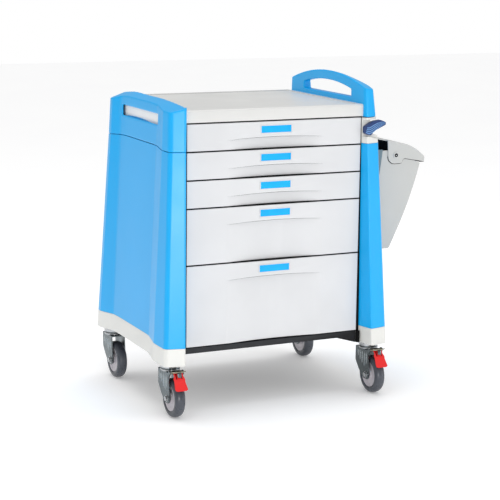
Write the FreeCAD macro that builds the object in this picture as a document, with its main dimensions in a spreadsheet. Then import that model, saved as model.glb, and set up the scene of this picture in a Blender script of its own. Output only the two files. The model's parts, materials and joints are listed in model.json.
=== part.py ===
"""Five-drawer ward trolley: steel carcass, moulded side columns, casters, central lock, waste bin."""
import FreeCAD
import Part
import Sketcher
import math
import os
import re
from FreeCAD import Vector

# Driving dimensions in millimetres. Heights are measured from the floor, x from the middle of the
# cart and y backwards from the plane of the drawer fronts.
DIMS = {
    # where the middle of the cart stands in the part's frame; filled in by centre_on_origin
    "cart_x": 0, "cart_y": 0,
    # drawers
    "front_half": 270, "front_thick": 20, "front_gap": 3.5, "front_round": 2,
    "drawer_top": 813, "pitch_small": 78.5, "pitch_medium": 159, "pitch_deep": 233.5,
    "scoop_depth": 12, "scoop_round": 943.5, "lip_drop": 44.5, "lip_round": 2005,
    "label_half": 46.5, "label_high": 19.5, "label_drop": 14, "label_thick": 1.2,
    "tray_half": 252, "tray_rear": 440, "tray_wall": 1.5, "tray_below": 9, "tray_above": 6,
    "runner_high": 20, "runner_reach": 15, "runner_front": 40, "runner_lift": 14,
    "channel_high": 30, "channel_wall": 1.5, "slide_play": 0.8,
    # carcass, frame and worktop
    "carcass_half": 271.5, "carcass_front": 24, "carcass_rear": 466, "sheet": 1.5,
    "cross_rail_high": 7, "cross_rail_deep": 16,
    "frame_low": 167, "frame_high": 183, "frame_front": 5, "frame_rear": 470, "frame_bar": 30,
    "frame_half": 271.4, "side_in": 268, "side_front": 26, "side_rear": 447,
    "gusset_run": 66, "gusset_low": 148.5, "pad_round": 28, "pad_low": 154,
    "back_half": 268, "back_thick": 3, "back_low": 192,
    "top_half": 276, "top_high": 849, "top_rear": 476, "top_wall": 4, "top_round": 6,
    "rim_wide": 13, "rim_rise": 2.5, "cheek_out": 288, "cheek_in": 272.5, "cheek_front": 60,
    "cheek_long": 380, "cheek_low": 775, "cheek_top": 841,
    # side columns: each value holds at the seam and leans by so much per millimetre of height
    "seam": 738, "wave": 5, "seam_gap": 0.7, "shell": 3.5,
    "edge_at": 272.5, "edge_lean": 0.0113, "nose_at": 281.5, "nose_lean": 0.0219,
    "face_at": 21, "face_lean": 0.0548, "face_slope": 13,
    "outer_at": 326, "outer_lean": 0.0446, "recess": 15, "recess_front": 100, "recess_rear": 397,
    "swell": 4, "swell_front": 18, "swell_rear": 24, "rear_at": 464, "rear_lean": 0.0625,
    "skirt_top": 200, "skirt_low": 150, "skirt_flare": 7,
    # handle caps and lock housing
    "housing_top": 811.5, "cap_lean_left": 0.03, "cap_lean_right": 0.11, "cap_tilt": 0.27,
    "arch_left_end": 857, "arch_left_mid": 868.5, "arch_right_end": 893, "arch_right_mid": 930,
    "arch_front": -16, "arch_rear": 447,
    "grip_front": 76, "grip_rear": 370, "grip_low": 863, "grip_end": 885, "grip_mid": 901.5,
    "slot_front": 103, "slot_rear": 380, "slot_low": 801, "slot_high": 830.5,
    "shelf_low": 782, "shelf_high": 786, "pocket_top": 834, "cheek_gap": 1,
    "web_at": 290, "web_thick": 3, "web_shift": 52, "web_low": 780, "web_end": 789,
    "web_mid": 799,
    # central lock
    "lever_x": 284, "lever_z": 775, "lever_front": -19, "lever_rear": -3, "lever_pin": 3,
    "lever_play": 0.05, "bar_x": 225, "bar_wide": 20, "bar_front": 446, "bar_thick": 4,
    "bar_low": 215, "bar_high": 811, "finger_reach": 12, "finger_high": 2, "lock_stroke": 4,
    # waste bin, hung on the right side
    "bin_front": 60, "bin_long": 260, "bin_wall": 3, "bin_back": 377, "bin_rim": 689,
    "bin_low": 410, "bin_low_out": 408, "bin_mid_out": 476, "bin_mid": 552, "bin_belly": 1100,
    "bin_top_out": 507, "bin_rim_out": 661, "bin_rim_back": 703, "bin_tuck": -36,
    "bracket_front": 140, "bracket_long": 110, "bracket_low": 590, "bracket_high": 50,
    "hanger_thick": 3.5, "hanger_reach": 26, "hanger_top": 700, "hanger_crest": 706,
    "lid_x": 423, "lid_z": 688, "lid_play": 0.5, "lid_wall": 2.5, "lid_inset": 6,
    "ear_round": 25, "screw_round": 4, "screw_play": 0.06, "screw_head": 7,
    # casters
    "caster_x": 316, "caster_front_y": 5, "caster_rear_y": 452, "trail": 26,
    "wheel_round": 55, "core_round": 37, "tyre_wide": 30, "tyre_crown": 11, "core_wide": 27,
    "axle_round": 5, "axle_play": 0.06, "fork_in": 18.5, "fork_out": 21.5, "fork_half": 37,
    "fork_top": 129, "race_round": 25, "race_top": 137.5, "head_round": 28, "head_low": 138,
    "plate_high": 4, "plate_half": 24, "pin_round": 6, "pin_play": 0.05, "bolt_round": 8, "bolt_high": 5,
    "brake_y": 42, "brake_z": 131, "brake_half": 20.5, "brake_reach": 64, "brake_rise": 1.5,
    "brake_sheet": 2.5, "brake_pin": 2.5, "barrel_round": 4.2, "barrel_half": 17.5,
    "pedal_at": 57.5, "pedal_low": 89, "pedal_half": 15, "pedal_spread": 5, "pedal_thick": 6,
    "pedal_kick": 27.5,
}

doc = FreeCAD.newDocument("ward_trolley")
dims = doc.addObject("Spreadsheet::Sheet", "dims")
for row, (alias, value) in enumerate(DIMS.items(), start=1):
    dims.set(f"A{row}", alias)
    dims.set(f"B{row}", str(value))
    dims.setAlias(f"B{row}", alias)
doc.recompute()


def size(alias):
    """Value of one cell of the sheet."""
    return float(dims.get(alias))


def formula(text):
    """Turn the sheet's words in an expression into references to its cells."""
    return re.sub(r"[a-z_]+", lambda found: "dims." + found.group() if found.group() in DIMS
                  else found.group(), str(text))


def bind(thing, **settings):
    """Bind properties to expressions; a double underscore in the keyword stands for a dot."""
    for name, text in settings.items():
        thing.setExpression(name.replace("__", "."), formula(text))


NODES = []


def keep(thing, name, x="0", y="0", z="0"):
    """Register a finished sub-part under its name, placed at x, y, z of the cart."""
    thing.Label = name
    bind(thing, Placement__Base__x=f"cart_x + {x}", Placement__Base__y=f"cart_y + {y}",
         Placement__Base__z=z)
    NODES.append(thing)
    return thing


def block(name, at, extent):
    """Box with its low corner at `at`, all six values given as expressions."""
    thing = doc.addObject("Part::Box", name)
    bind(thing, Length=extent[0], Width=extent[1], Height=extent[2],
         Placement__Base__x=at[0], Placement__Base__y=at[1], Placement__Base__z=at[2])
    return thing


def rod(name, at, radius, length, axis="z"):
    """Cylinder that starts at `at` and runs along +x, +y or +z."""
    thing = doc.addObject("Part::Cylinder", name)
    turn = {"x": (Vector(0, 1, 0), 90), "y": (Vector(1, 0, 0), -90), "z": (Vector(0, 0, 1), 0)}[axis]
    thing.Placement = FreeCAD.Placement(Vector(), FreeCAD.Rotation(*turn))
    bind(thing, Radius=radius, Height=length,
         Placement__Base__x=at[0], Placement__Base__y=at[1], Placement__Base__z=at[2])
    return thing


def fuse(name, *things):
    thing = doc.addObject("Part::MultiFuse", name)
    thing.Shapes = list(things)
    return thing


def common(name, *things):
    thing = doc.addObject("Part::MultiCommon", name)
    thing.Shapes = list(things)
    return thing


def cut(name, base, tool):
    thing = doc.addObject("Part::Cut", name)
    thing.Base = base
    thing.Tool = tool
    return thing


def group(name, *things):
    """Separate solids kept together as one sub-part."""
    thing = doc.addObject("Part::Compound", name)
    thing.Links = list(things)
    return thing


def solid(name, shape):
    """Sub-part whose shape is made with Part's own functions."""
    thing = doc.addObject("Part::Feature", name)
    thing.Shape = shape
    return thing


# ---------------------------------------------------------------- outlines with rounded corners
def rounded(points):
    """Closed wire through (x, y, radius) corners in the XY plane."""
    corners = [(Vector(x, y, 0), radius) for x, y, radius in points]
    ends = []
    for index, (corner, radius) in enumerate(corners):
        before = (corners[index - 1][0] - corner).normalize()
        after = (corners[(index + 1) % len(corners)][0] - corner).normalize()
        half = before.getAngle(after) / 2
        back = radius / math.tan(half)
        middle = (before + after).normalize() * (radius / math.sin(half) - radius)
        ends.append((corner + before * back, corner + middle, corner + after * back, radius > 0))
    edges = []
    for index, (start, middle, end, is_round) in enumerate(ends):
        if is_round:
            edges.append(Part.Arc(start, middle, end).toShape())
        edges.append(Part.makeLine(end, ends[(index + 1) % len(ends)][0]))
    return Part.Wire(edges)


def inset(points, wall):
    """Counter-clockwise (x, y, radius) outline moved inwards by the wall."""
    lines = []
    for index, (x, y, _) in enumerate(points):
        next_x, next_y, _ = points[(index + 1) % len(points)]
        run = Vector(next_x - x, next_y - y, 0).normalize()
        lines.append((Vector(x, y, 0) + Vector(-run.y, run.x, 0) * wall, run))
    moved = []
    for index, (_, _, radius) in enumerate(points):
        (base, run), (other, turn) = lines[index - 1], lines[index]
        cross = run.x * turn.y - run.y * turn.x
        gap = other - base
        along = (gap.x * turn.y - gap.y * turn.x) / cross
        corner = base + run * along
        change = -wall if cross > 0 else wall
        moved.append((corner.x, corner.y, max(radius + change, 0.5)))
    return moved


def stand_up(wire, x):
    """Turn a wire drawn in (y, z) so that it stands in the plane at x."""
    turned = wire.copy()
    turned.transformShape(FreeCAD.Matrix(0, 0, 1, x, 1, 0, 0, 0, 0, 1, 0, 0, 0, 0, 0, 1))
    return turned


def turn_front(wire, y):
    """Turn a wire drawn in (x, z) so that it stands in the plane at y."""
    turned = wire.copy()
    turned.transformShape(FreeCAD.Matrix(1, 0, 0, 0, 0, 0, -1, y, 0, 1, 0, 0, 0, 0, 0, 1))
    return turned


# ---------------------------------------------------------------- side columns
def lean(name, height):
    """Where a leaning surface stands at a height."""
    return size(name + "_at") + size(name + "_lean") * (size("seam") - height)


def column_outline(height, inner, nose, cap_lean=None):
    """Plan of the right side column at a height, counter-clockwise from its inner rear corner."""
    outer = lean("outer", height)
    if cap_lean is not None:
        outer = size("outer_at") + size(cap_lean) * (size("seam") - height)
    face = -lean("face", height)
    rear = lean("rear", height)
    hollow = outer - size("recess") + size("swell")
    belly = outer + size("swell")
    return [
        (inner, rear, 2),
        (inner, nose[1] + (2 if cap_lean is None else 0), 0),
        (nose[0], nose[1], 0),
        (lean("nose", height), face, 5),
        (outer, face + size("face_slope"), 16),
        (belly, size("swell_front") + 18, 30),
        (hollow, size("recess_front") + 10, 70),
        (hollow, size("recess_rear") - 4, 60),
        (belly, rear - size("swell_rear") - 8, 12),
        (outer + 2, rear - 4, 10),
    ]


def column_loft(outlines):
    """Solid through (height, outline) pairs."""
    wires = []
    for height, outline in outlines:
        wire = rounded(outline)
        wire.translate(Vector(0, 0, height))
        wires.append(wire)
    return Part.makeLoft(wires, True, True)


def wave_height(base):
    """Points of a seam line in (y, z): level on both columns and raised over the recess."""
    low, high = base, base + size("wave")
    middle = (size("recess_front") + size("recess_rear")) / 2
    return [(-90, low), (0, low), (middle - 125, high - 0.6), (middle, high),
            (middle + 125, high - 0.6), (size("rear_at") - 8, low), (540, low)]


def band(low, high, flat_low=False, flat_high=False):
    """Block between two seam lines, wide enough to trim a side column."""
    edges = []
    ends = []
    for base, flat in ((low, flat_low), (high, flat_high)):
        points = [Vector(0, y, z) for y, z in wave_height(base)]
        if flat:
            edge = Part.makeLine(Vector(0, -90, base), Vector(0, 540, base))
        else:
            curve = Part.BSplineCurve()
            curve.interpolate(points)
            edge = curve.toShape()
        edges.append(edge)
        ends.append((Vector(0, -90, base), Vector(0, 540, base)))
    joins = [Part.makeLine(ends[0][index], ends[1][index]) for index in (0, 1)]
    wire = Part.Wire(Part.__sortEdges__(edges + joins))
    return Part.Face(wire).extrude(Vector(420, 0, 0))


def arch_face(x, ends, apex, front, rear, low):
    """Face in the plane at x under an arc with the given end and apex heights."""
    middle = (front + rear) / 2
    arc = Part.Arc(Vector(x, front, ends), Vector(x, middle, apex), Vector(x, rear, ends)).toShape()
    lines = Part.makePolygon([Vector(x, rear, ends), Vector(x, rear, low), Vector(x, front, low),
                              Vector(x, front, ends)])
    return Part.Face(Part.Wire([arc] + lines.Edges))


def cap_crown(side):
    """Block whose tilted top is the arch of a handle cap; it leans down towards the outside."""
    ends, apex = size(f"arch_{side}_end"), size(f"arch_{side}_mid")
    front, rear = size("arch_front"), size("arch_rear")
    radius = ((rear - front) ** 2 / 4 + (apex - ends) ** 2) / (2 * (apex - ends))
    spread = 60
    middle = (front + rear) / 2
    drop = radius - math.sqrt(radius ** 2 - (middle - front + spread) ** 2)
    near = arch_face(size("nose_at") - 16, apex - drop, apex, front - spread, rear + spread, 600)
    tilt = size("cap_tilt")
    near.translate(Vector(0, 0, 10 * tilt))
    return near.extrude(Vector(90, 0, -90 * tilt))


def mirror_left(shape):
    return shape.mirror(Vector(), Vector(1, 0, 0))


def build_side(side):
    """Skirt, side panel and handle cap of one side, and the lock housing on the right."""
    flip = mirror_left if side == "left" else (lambda shape: shape)
    inner = size("carcass_half")
    wall = size("shell")
    low, seam = size("skirt_low"), size("seam")
    levels = (low - 30, size("skirt_top"), seam + 20)
    shells = []
    for spread in (0, wall):
        pairs = []
        for height in levels:
            flare = size("skirt_flare") if height < low else 0
            outline = column_outline(height, inner, (lean("edge", height) + flare, 1.5))
            pairs.append((height, inset(outline, spread) if spread else outline))
        shells.append(column_loft(pairs))
    shell = shells[0].cut(shells[1])
    opening = Part.makeBox(2 * wall, size("rear_at") - 40, 700, Vector(inner - wall, 24, low - 31))
    shell = shell.cut(opening)
    gap = size("seam_gap")
    skirt = shell.common(band(low, size("skirt_top") - gap))
    panel = shell.common(band(size("skirt_top"), seam - gap))
    keep(solid("skirt_" + side, flip(skirt)), "skirt_" + side)
    keep(solid("side_panel_" + side, flip(panel)), "side_panel_" + side)

    cap_low = seam if side == "left" else size("housing_top") + gap
    body = column_loft(cap_levels(side, side == "left"))
    body = body.common(band(cap_low, 1000, side == "right", True)).common(cap_crown(side))
    cap = carve_left_cap(body) if side == "left" else carve_right_cap(body)
    keep(solid("handle_cap_" + side, flip(cap)), "handle_cap_" + side)


def cap_levels(side, has_nose):
    """Outlines of a handle cap; the left one reaches past the worktop's edge to the drawers."""
    face_x = size("top_half")
    pairs = []
    for height in (size("seam") - 10, size("arch_right_mid") + 10):
        nose_x = lean("edge", height) if has_nose else face_x + 0.3
        pairs.append((height, column_outline(height, face_x, (nose_x, -0.5), f"cap_lean_{side}")))
    return pairs


def carve_right_cap(body):
    """Through grip with an arched top, cut along x."""
    face = arch_face(230, size("grip_end"), size("grip_mid"), size("grip_front"),
                     size("grip_rear"), size("grip_low"))
    grip = face.extrude(Vector(150, 0, 0))
    upright = [edge for edge in grip.Edges
               if abs(edge.Length - 150) < 0.1 and edge.BoundBox.ZMax < size("grip_end") + 1]
    return body.cut(grip.makeFillet(3, upright))


def carve_left_cap(body):
    """Cap with a pocket for the worktop's cheek, open to a long finger slot in its outer wall."""
    wall = size("shell") + 0.5
    inside = column_loft([(height, inset(outline, wall))
                          for height, outline in cap_levels("left", False)])
    lower = Part.makeBox(200, 700, 100, Vector(200, -100, size("shelf_low") - 100))
    upper = Part.makeBox(200, 700, size("pocket_top") - size("shelf_high"),
                         Vector(200, -100, size("shelf_high")))
    inside = inside.common(lower.fuse(upper))
    gap = size("cheek_gap")
    room = Part.makeBox(size("cheek_out") + gap - size("cheek_in") + 0.5,
                        size("cheek_long") + 10 * gap,
                        size("cheek_top") + gap - size("seam") + 10,
                        Vector(size("cheek_in") - 0.5, size("cheek_front") - 5 * gap,
                               size("seam") - 10))
    body = body.cut(inside).cut(room)
    slot = Part.makeBox(60, size("slot_rear") - size("slot_front"),
                        size("slot_high") - size("slot_low"),
                        Vector(size("web_at") + 8, size("slot_front"), size("slot_low")))
    body = body.cut(slot.makeFillet(2.5, [edge for edge in slot.Edges if abs(edge.Length - 60) < 0.1]))
    front, rear = size("slot_front") + size("web_shift"), size("slot_rear") + size("web_shift")
    web = arch_face(size("web_at"), size("web_end"), size("web_mid"), front, rear, size("web_low"))
    return body.fuse(web.extrude(Vector(size("web_thick"), 0, 0)))


# ---------------------------------------------------------------- PartDesign helpers
def new_sketch(body, role, name, x="0", y="0", z="0"):
    """Sketch on one of the body's own origin planes, moved by x, y, z of the plane's frame."""
    sketch = body.newObject("Sketcher::SketchObject", name)
    plane = next(item for item in body.Origin.OriginFeatures if item.Role == role)
    sketch.AttachmentSupport = [(plane, "")]
    sketch.MapMode = "FlatFace"
    bind(sketch, AttachmentOffset__Base__x=x, AttachmentOffset__Base__y=y,
         AttachmentOffset__Base__z=z)
    return sketch


def evaluate(text):
    """Number that an expression of the sheet's words stands for."""
    words = re.sub(r"[a-z_]+", lambda found: str(size(found.group())), str(text))
    total = 0.0
    for term in re.findall(r"[+-]?[^+-]+", words.replace(" ", "")):
        product = -1.0 if term.startswith("-") else 1.0
        for factor in term.lstrip("+-").split("*"):
            product *= float(factor)
        total += product
    return total


def profile(sketch, corners):
    """Closed polygon whose corners are bound to expressions; none lies left of or below zero."""
    spots = [Vector(evaluate(x), evaluate(y), 0) for x, y in corners]
    count = len(spots)
    for index, spot in enumerate(spots):
        sketch.addGeometry(Part.LineSegment(spot, spots[(index + 1) % count]), False)
    for index in range(count):
        sketch.addConstraint(Sketcher.Constraint("Coincident", index, 2, (index + 1) % count, 1))
    for index, ((x, y), spot) in enumerate(zip(corners, spots)):
        for kind, axis, value, text in (("DistanceX", -2, spot.x, x), ("DistanceY", -1, spot.y, y)):
            if value == 0:
                sketch.addConstraint(Sketcher.Constraint("PointOnObject", index, 1, axis))
            else:
                number = sketch.addConstraint(Sketcher.Constraint(kind, -1, 1, index, 1, value))
                label = f"{kind[-1].lower()}{index}"
                sketch.renameConstraint(number, label)
                sketch.setExpression("Constraints." + label, formula(text))


def rectangle(sketch, wide, high):
    profile(sketch, [("0", "0"), (wide, "0"), (wide, high), ("0", high)])


def feature(body, kind, name, sketch, **settings):
    thing = body.newObject("PartDesign::" + kind, name)
    thing.Profile = sketch
    sketch.Visibility = False
    bind(thing, **settings)
    return thing


def spin(body, name, sketch):
    """Full revolution about the body's own x axis."""
    thing = body.newObject("PartDesign::Revolution", name)
    thing.Profile = sketch
    axis = next(item for item in body.Origin.OriginFeatures if item.Role == "X_Axis")
    thing.ReferenceAxis = (axis, [""])
    thing.Angle = 360
    return thing


def round_edges(body, name, base, radius, choose):
    """Fillet on the edges of the base feature that `choose` accepts."""
    doc.recompute()
    names = [f"Edge{number}" for number, edge in enumerate(base.Shape.Edges, start=1) if choose(edge)]
    thing = body.newObject("PartDesign::Fillet", name)
    thing.Base = (base, names)
    bind(thing, Radius=radius)
    return thing


# ---------------------------------------------------------------- frame, carcass and worktop
def build_frame():
    """Welded frame of flat bar under the carcass, with a round pad over each caster."""
    bar = "frame_bar"
    high = "frame_high - frame_low"
    pieces = [
        block("rail_front", ("-frame_half", "frame_front", "frame_low"), ("2 * frame_half", bar, high)),
        block("rail_rear", ("-frame_half", "frame_rear - frame_bar", "frame_low"),
              ("2 * frame_half", bar, high)),
    ]
    for side, x, rail_x, tie_x in (("left", "-caster_x", "-side_in - frame_bar", "-caster_x - 12"),
                                   ("right", "caster_x", "side_in", "side_in + 17")):
        pieces.append(block("rail_" + side, (rail_x, "side_front", "frame_low"),
                            (bar, "side_rear - side_front", high)))
        for place, y, tie_y in (("front", "caster_front_y", "caster_front_y + 3"),
                                ("rear", "caster_rear_y", "caster_rear_y - 55")):
            pieces.append(rod(f"pad_{side}_{place}", (x, y, "pad_low"), "pad_round",
                              "frame_low - pad_low + 4"))
            pieces.append(block(f"tie_{side}_{place}", (tie_x, tie_y, "pad_low + 5"),
                                ("caster_x + 12 - side_in - 17", "52", "frame_low - pad_low")))
    pieces.append(gusset())
    keep(fuse("base_frame", *pieces), "base_frame")


def gusset():
    """Triangular plate under the right end of the front rail."""
    near = size("frame_half")
    far = near - size("gusset_run")
    corners = [Vector(x, size("frame_front"), z) for x, z in
               ((far, size("frame_low") + 1), (near, size("frame_low") + 1), (near, size("gusset_low")))]
    face = Part.Face(Part.makePolygon(corners + corners[:1]))
    return solid("gusset", face.extrude(Vector(0, size("frame_bar"), 0)))


def build_carcass():
    deep = "carcass_rear - carcass_front"
    shell = block("carcass_shell", ("-carcass_half", "carcass_front", "frame_high"),
                  ("2 * carcass_half", deep, "drawer_top - frame_high + 1.5"))
    room = block("carcass_room", ("-carcass_half + sheet", "carcass_front - 1", "frame_high + sheet"),
                 ("2 * carcass_half - 2 * sheet", deep + " - sheet + 1",
                  "drawer_top - frame_high - 2 * sheet + 1.5"))
    pieces = [cut("carcass_box", shell, room)]
    for number, (top, _) in enumerate(DRAWERS[1:], start=1):
        pieces.append(block(f"cross_rail_{number}",
                            ("-carcass_half + 1", "carcass_front", top + " - 0.5 * cross_rail_high"),
                            ("2 * carcass_half - 2", "cross_rail_deep", "cross_rail_high")))
    keep(fuse("carcass", *pieces), "carcass")
    back = block("back_sheet", ("-back_half", "carcass_rear", "back_low"),
                 ("2 * back_half", "back_thick", "drawer_top - back_low - 4"))
    keep(group("back_panel", back), "back_panel")


def build_worktop():
    """Moulded top with a raised rim, hollow below, and a cheek that fills the left cap's pocket."""
    body = doc.addObject("PartDesign::Body", "worktop")
    plan = new_sketch(body, "XY_Plane", "worktop_plan", "-top_half", "0", "drawer_top + 1.5")
    rectangle(plan, "2 * top_half", "top_rear")
    pad = feature(body, "Pad", "worktop_pad", plan, Length="top_high - drawer_top - 1.5")
    front_top = round_edges(body, "worktop_round", pad, "top_round", lambda edge: (
        edge.BoundBox.ZMin > size("top_high") - 0.1 and edge.BoundBox.YMax < 0.1))
    dish = new_sketch(body, "XY_Plane", "worktop_dish", "-top_half + rim_wide", "rim_wide", "top_high")
    rectangle(dish, "2 * top_half - 2 * rim_wide", "top_rear - 2 * rim_wide")
    sunk = feature(body, "Pocket", "worktop_sunk", dish, Length="rim_rise")
    inside = new_sketch(body, "XY_Plane", "worktop_inside", "-top_half + top_wall", "top_wall",
                        "drawer_top + 1.5")
    rectangle(inside, "2 * top_half - 2 * top_wall", "top_rear - 2 * top_wall")
    hollow = feature(body, "Pocket", "worktop_hollow", inside,
                     Length="top_high - drawer_top - 1.5 - rim_rise - top_wall")
    hollow.Reversed = True
    cheek = new_sketch(body, "XY_Plane", "worktop_cheek", "-cheek_out", "cheek_front", "cheek_low")
    rectangle(cheek, "cheek_out - cheek_in", "cheek_long")
    feature(body, "Pad", "cheek_pad", cheek, Length="cheek_top - cheek_low")
    return keep(body, "worktop")


# ---------------------------------------------------------------- drawers
def drawer_lines():
    """Top line and height of each drawer, from the top down, as expressions."""
    lines, top = [], "drawer_top"
    for pitch in ["pitch_small"] * 3 + ["pitch_medium", "pitch_deep"]:
        lines.append((top, pitch))
        top = f"{top} - {pitch}"
    return lines


DRAWERS = drawer_lines()


def build_drawer(number, top, pitch):
    """Front with its pull scoop, tray, runners and label insert of one drawer."""
    name = f"drawer_{number}"
    low = f"{top} - {pitch}"
    blank = block(name + "_blank", ("-front_half", "0", low + " + 0.5 * front_gap"),
                  ("2 * front_half", "front_thick", pitch + " - front_gap"))
    doc.recompute()
    soft = doc.addObject("Part::Fillet", name + "_soft")
    soft.Base = blank
    soft.Edges = [(index, size("front_round"), size("front_round"))
                  for index, edge in enumerate(blank.Shape.Edges, start=1)
                  if edge.BoundBox.YMax < 0.1]
    sweep = rod(name + "_sweep", ("0", "scoop_depth - scoop_round", low), "scoop_round", pitch)
    lip = rod(name + "_lip", ("0", "-1", f"{top} - lip_drop - lip_round"), "lip_round",
              "front_thick + 2", "y")
    front = cut(name + "_scooped", soft, common(name + "_scoop", sweep, lip))
    keep(front, name + "_front")

    tray_low = f"{low} + tray_above"
    tray_high = f"{pitch} - tray_above - tray_below"
    outer = block(name + "_pan", ("-tray_half", "front_thick", tray_low),
                  ("2 * tray_half", "tray_rear - front_thick", tray_high))
    room = block(name + "_room", ("-tray_half + tray_wall", "front_thick + tray_wall",
                                  tray_low + " + tray_wall"),
                 ("2 * tray_half - 2 * tray_wall", "tray_rear - front_thick - 2 * tray_wall",
                  tray_high))
    keep(cut(name + "_box", outer, room), name + "_tray")

    runner_low = f"{tray_low} + runner_lift"
    length = "tray_rear - runner_front"
    runners = [block(f"{name}_runner_{side}", (x, "runner_front", runner_low),
                     ("runner_reach", length, "runner_high"))
               for side, x in (("left", "-tray_half - runner_reach"), ("right", "tray_half"))]
    keep(group(name + "_pair", *runners), name + "_runners")

    label = block(name + "_tag", ("-label_half", "-label_thick", f"{top} - label_drop - label_high"),
                  ("2 * label_half", "label_thick", "label_high"))
    keep(group(name + "_insert", label), name + "_label")
    return channel_pair(name, f"{runner_low} - 0.5 * channel_high + 0.5 * runner_high")


def channel_pair(name, low):
    """Fixed slide channels of one drawer: each wraps its runner with a little play."""
    pair = []
    length = "tray_rear - runner_front + 10"
    for side in ("left", "right"):
        x = "-carcass_half + sheet" if side == "left" else "tray_half + 5"
        groove_x = ("-tray_half - runner_reach - slide_play" if side == "left" else "tray_half")
        wide = "carcass_half - sheet - tray_half - 5"
        body = block(f"{name}_channel_{side}", (x, "runner_front + 2", low),
                     (wide, length, "channel_high"))
        groove = block(f"{name}_groove_{side}",
                       (groove_x, "runner_front - 10",
                        f"{low} + 0.5 * channel_high - 0.5 * runner_high - slide_play"),
                       ("runner_reach + slide_play", length + " + 40",
                        "runner_high + 2 * slide_play"))
        pair.append(cut(f"{name}_channel_{side}_cut", body, groove))
    return pair


# ---------------------------------------------------------------- central lock
def build_lock():
    """Off-white housing under the right handle, its ribbed lever, the pin and the lock bar."""
    wall = size("seam_gap")
    low, high = size("seam"), size("housing_top")
    inner = size("carcass_half")
    pairs = [(height, column_outline(height, inner, (lean("edge", height), 1.5), "cap_lean_right"))
             for height in (low - 10, high + 10)]
    body = column_loft(pairs).common(band(low + 0.2, high - wall, False, True))
    room = rounded([(inner + 6, 52, 4), (300, 52, 8), (300, 412, 8), (inner + 6, 412, 4)])
    room.translate(Vector(0, 0, low - 12))
    body = body.cut(Part.Face(room).extrude(Vector(0, 0, high - low + 6)))
    notch = turn_front(rounded([(271.9, 757, 3), (292, 757, 6), (304, 752, 8), (360, 744, 0),
                                (360, 805, 0), (271.9, 805, 3)]), -60)
    notch = Part.Face(notch).extrude(Vector(0, 58.5, 0))
    scoop = turn_front(rounded([(296, 766, 5), (360, 750, 0), (360, 805, 0), (296, 805, 5)]), -60)
    scoop = Part.Face(scoop).extrude(Vector(0, 100, 0))
    pin_at = Vector(size("lever_x"), size("lever_front") - 1, size("lever_z"))
    bore = Part.makeCylinder(size("lever_pin"), 60, pin_at, Vector(0, 1, 0))
    keep(solid("lock_housing", body.cut(notch).cut(scoop).cut(bore)), "lock_housing")

    thick = size("lever_rear") - size("lever_front")
    paddle = turn_front(rounded([(273.5, 768, 6), (281, 762.5, 5), (293, 760.5, 3), (304, 773, 14),
                                 (341, 789.5, 3), (341, 797, 4), (324, 804, 10), (300, 801, 30),
                                 (273.5, 786, 8)]), size("lever_front"))
    lever = Part.Face(paddle).extrude(Vector(0, thick, 0))
    play = size("lever_pin") + size("lever_play")
    lever = lever.cut(Part.makeCylinder(play, 60, pin_at, Vector(0, 1, 0)))
    keep(solid("lock_lever", lever), "lock_lever")
    pin = rod("pin", ("lever_x", "lever_front", "lever_z"), "lever_pin", "18 - lever_front", "y")
    keep(group("lever_pin", pin), "lever_pin")

    bar = [block("bar", ("bar_x", "bar_front", "bar_low"),
                 ("bar_wide", "bar_thick", "bar_high - bar_low"))]
    for number, (top, _) in enumerate(DRAWERS, start=1):
        bar.append(block(f"finger_{number}",
                         ("bar_x", "bar_front - finger_reach",
                          f"{top} - tray_below + lock_stroke + 1"),
                         ("bar_wide", "finger_reach + 1", "finger_high")))
    keep(fuse("lock_bar", *bar), "lock_bar")


# ---------------------------------------------------------------- waste bin
def panel_face(height):
    """Outer face of the right side panel in its recess at a height."""
    return lean("outer", height) - size("recess") + size("swell")


def bin_back(height):
    """Outside of the bin's back wall, which leans away from the side panel."""
    run = (size("bin_rim") - height) / (size("bin_rim") - size("bin_low"))
    return size("bin_back") + size("bin_tuck") * run


def extrude_across(points, front, deep):
    """Solid from an outline of (x, z, radius) corners, `deep` long from the plane at `front`."""
    return Part.Face(turn_front(rounded(points), front)).extrude(Vector(0, deep, 0))


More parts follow.
